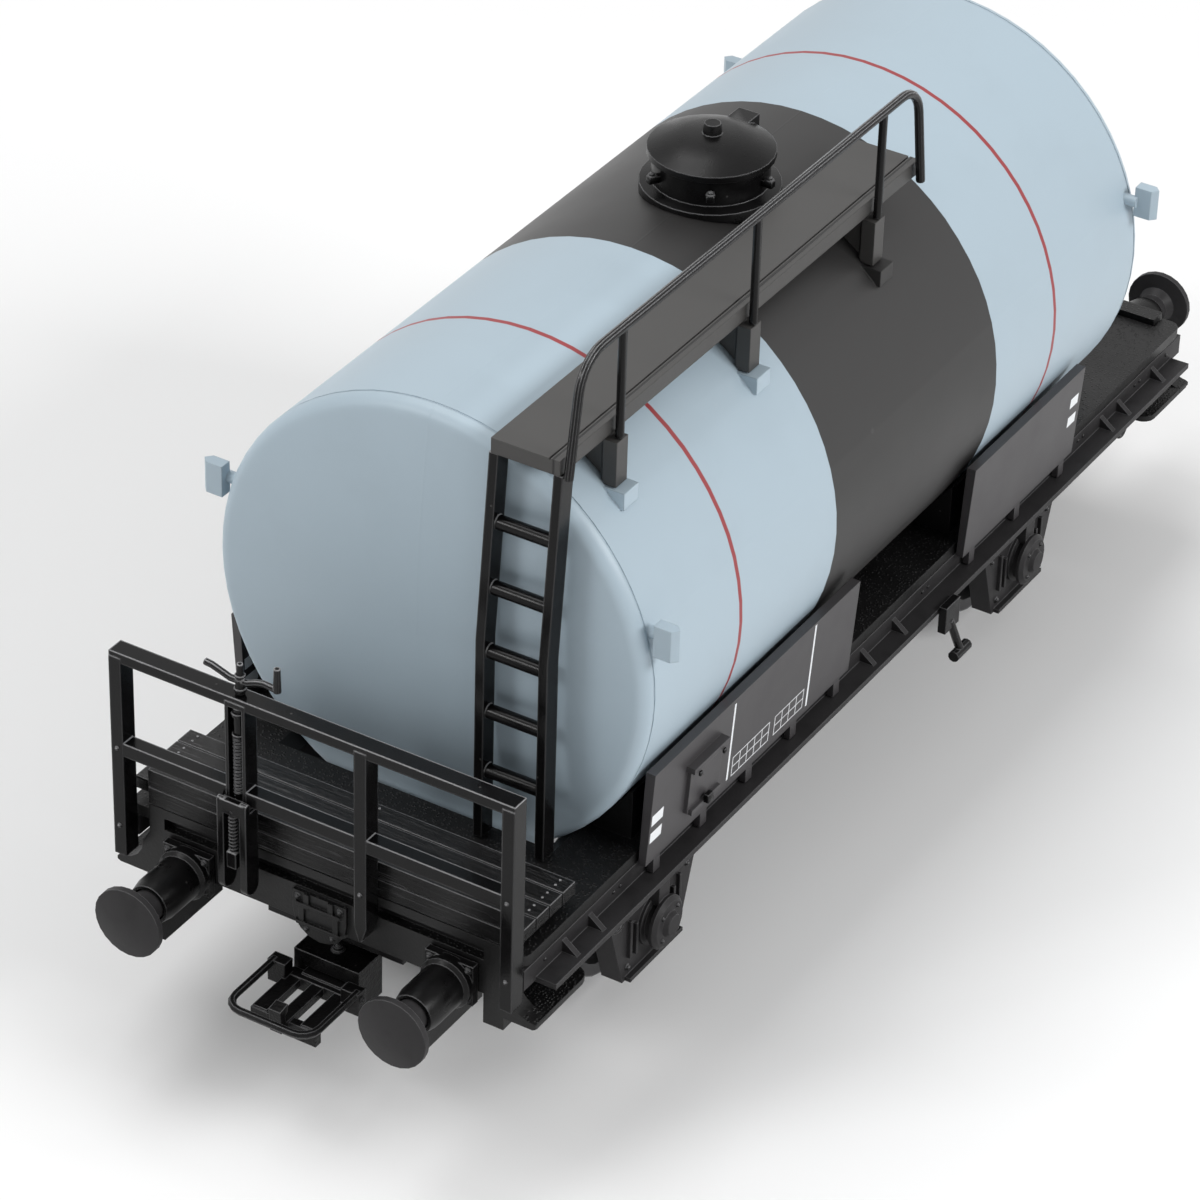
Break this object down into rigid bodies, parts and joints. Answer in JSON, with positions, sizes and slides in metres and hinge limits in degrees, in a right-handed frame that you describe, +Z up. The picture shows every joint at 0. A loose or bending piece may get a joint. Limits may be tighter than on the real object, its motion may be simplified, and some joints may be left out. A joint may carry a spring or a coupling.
{
  "type": "scale model railway tank wagon with brakeman's platform",
  "caption": "H0 scale model of a railway tank wagon with brakeman's platform, end ladder and tank-top walkway, on turning wheelsets with swinging couplings.",
  "frame": {"origin": "centre of the wagon's length and width, at the lowest point of the wheel flanges", "axes": "+X along the wagon away from the platform, +Y to the side without the walkway, +Z up"},
  "size_m": [0.1072, 0.0358, 0.0528],
  "materials": {
    "tank_blue_grey": "satin paint on moulded plastic, black band and thin red lines round the barrel",
    "black_satin": "satin black moulded plastic",
    "black_gloss": "glossy black moulded plastic",
    "planks_black": "black plastic moulded as wooden planks",
    "board_black": "black plastic with thin white printed lines and marks, no lettering",
    "wheel_metal": "blackened turned steel",
    "coupling_black": "black moulded plastic"
  },
  "bodies": {
    "wagon": {"axle_guard_plain_end_left": "black_satin", "axle_guard_plain_end_right": "black_satin", "axle_guard_platform_end_left": "black_satin", "axle_guard_platform_end_right": "black_satin", "brake_beam_plain_end": "black_satin", "brake_beam_platform_end": "black_satin", "brake_lever_left": "black_satin", "brake_lever_right": "black_satin", "buffer_head_plain_end_left": "black_gloss", "buffer_head_plain_end_right": "black_gloss", "buffer_head_platform_end_left": "black_gloss", "buffer_head_platform_end_right": "black_gloss", "buffer_sleeve_plain_end_left": "black_satin", "buffer_sleeve_plain_end_right": "black_satin", "buffer_sleeve_platform_end_left": "black_satin", "buffer_sleeve_platform_end_right": "black_satin", "centre_sill": "black_satin", "deck_planks": "planks_black", "dome_lid": "black_satin", "dome_ring": "black_satin", "end_ladder": "black_gloss", "end_railing": "black_gloss", "floor_plate": "black_satin", "hand_brake_crank": "black_gloss", "hand_brake_screw": "black_gloss", "headstock_plain_end": "black_satin", "headstock_platform_end": "black_satin", "side_board_long_left": "board_black", "side_board_long_right": "board_black", "side_board_short_left": "board_black", "side_board_short_right": "board_black", "solebar_left": "black_satin", "solebar_right": "black_satin", "tank_barrel": "tank_blue_grey", "tank_plain_end": "tank_blue_grey", "tank_platform_end": "tank_blue_grey", "toe_board": "planks_black", "walkway": "planks_black", "walkway_handrail": "black_gloss"},
    "wheelset_platform_end": {"axle_platform_end": "wheel_metal", "wheel_platform_end_left": "wheel_metal", "wheel_platform_end_right": "wheel_metal"},
    "coupling_platform_end": {"coupling_pocket_platform_end": "coupling_black", "coupling_head_platform_end": "coupling_black"},
    "wheelset_plain_end": {"axle_plain_end": "wheel_metal", "wheel_plain_end_left": "wheel_metal", "wheel_plain_end_right": "wheel_metal"},
    "coupling_plain_end": {"coupling_pocket_plain_end": "coupling_black", "coupling_head_plain_end": "coupling_black"}
  },
  "joints": [
    {"name": "wheelset_platform_end_turn", "type": "hinge", "parent": "wagon", "child": "wheelset_platform_end", "pos_m": [-0.0268, 0, 0.0065], "axis": [0, 1, 0], "continuous": true},
    {"name": "wheelset_plain_end_turn", "type": "hinge", "parent": "wagon", "child": "wheelset_plain_end", "pos_m": [0.0249, 0, 0.0065], "axis": [0, 1, 0], "continuous": true},
    {"name": "coupling_platform_end_swing", "type": "hinge", "parent": "wagon", "child": "coupling_platform_end", "pos_m": [-0.0365, 0, 0.00865], "axis": [0, 0, 1], "range_deg": [-12, 12]},
    {"name": "coupling_plain_end_swing", "type": "hinge", "parent": "wagon", "child": "coupling_plain_end", "pos_m": [0.0365, 0, 0.00865], "axis": [0, 0, 1], "range_deg": [-12, 12]}
  ]
}
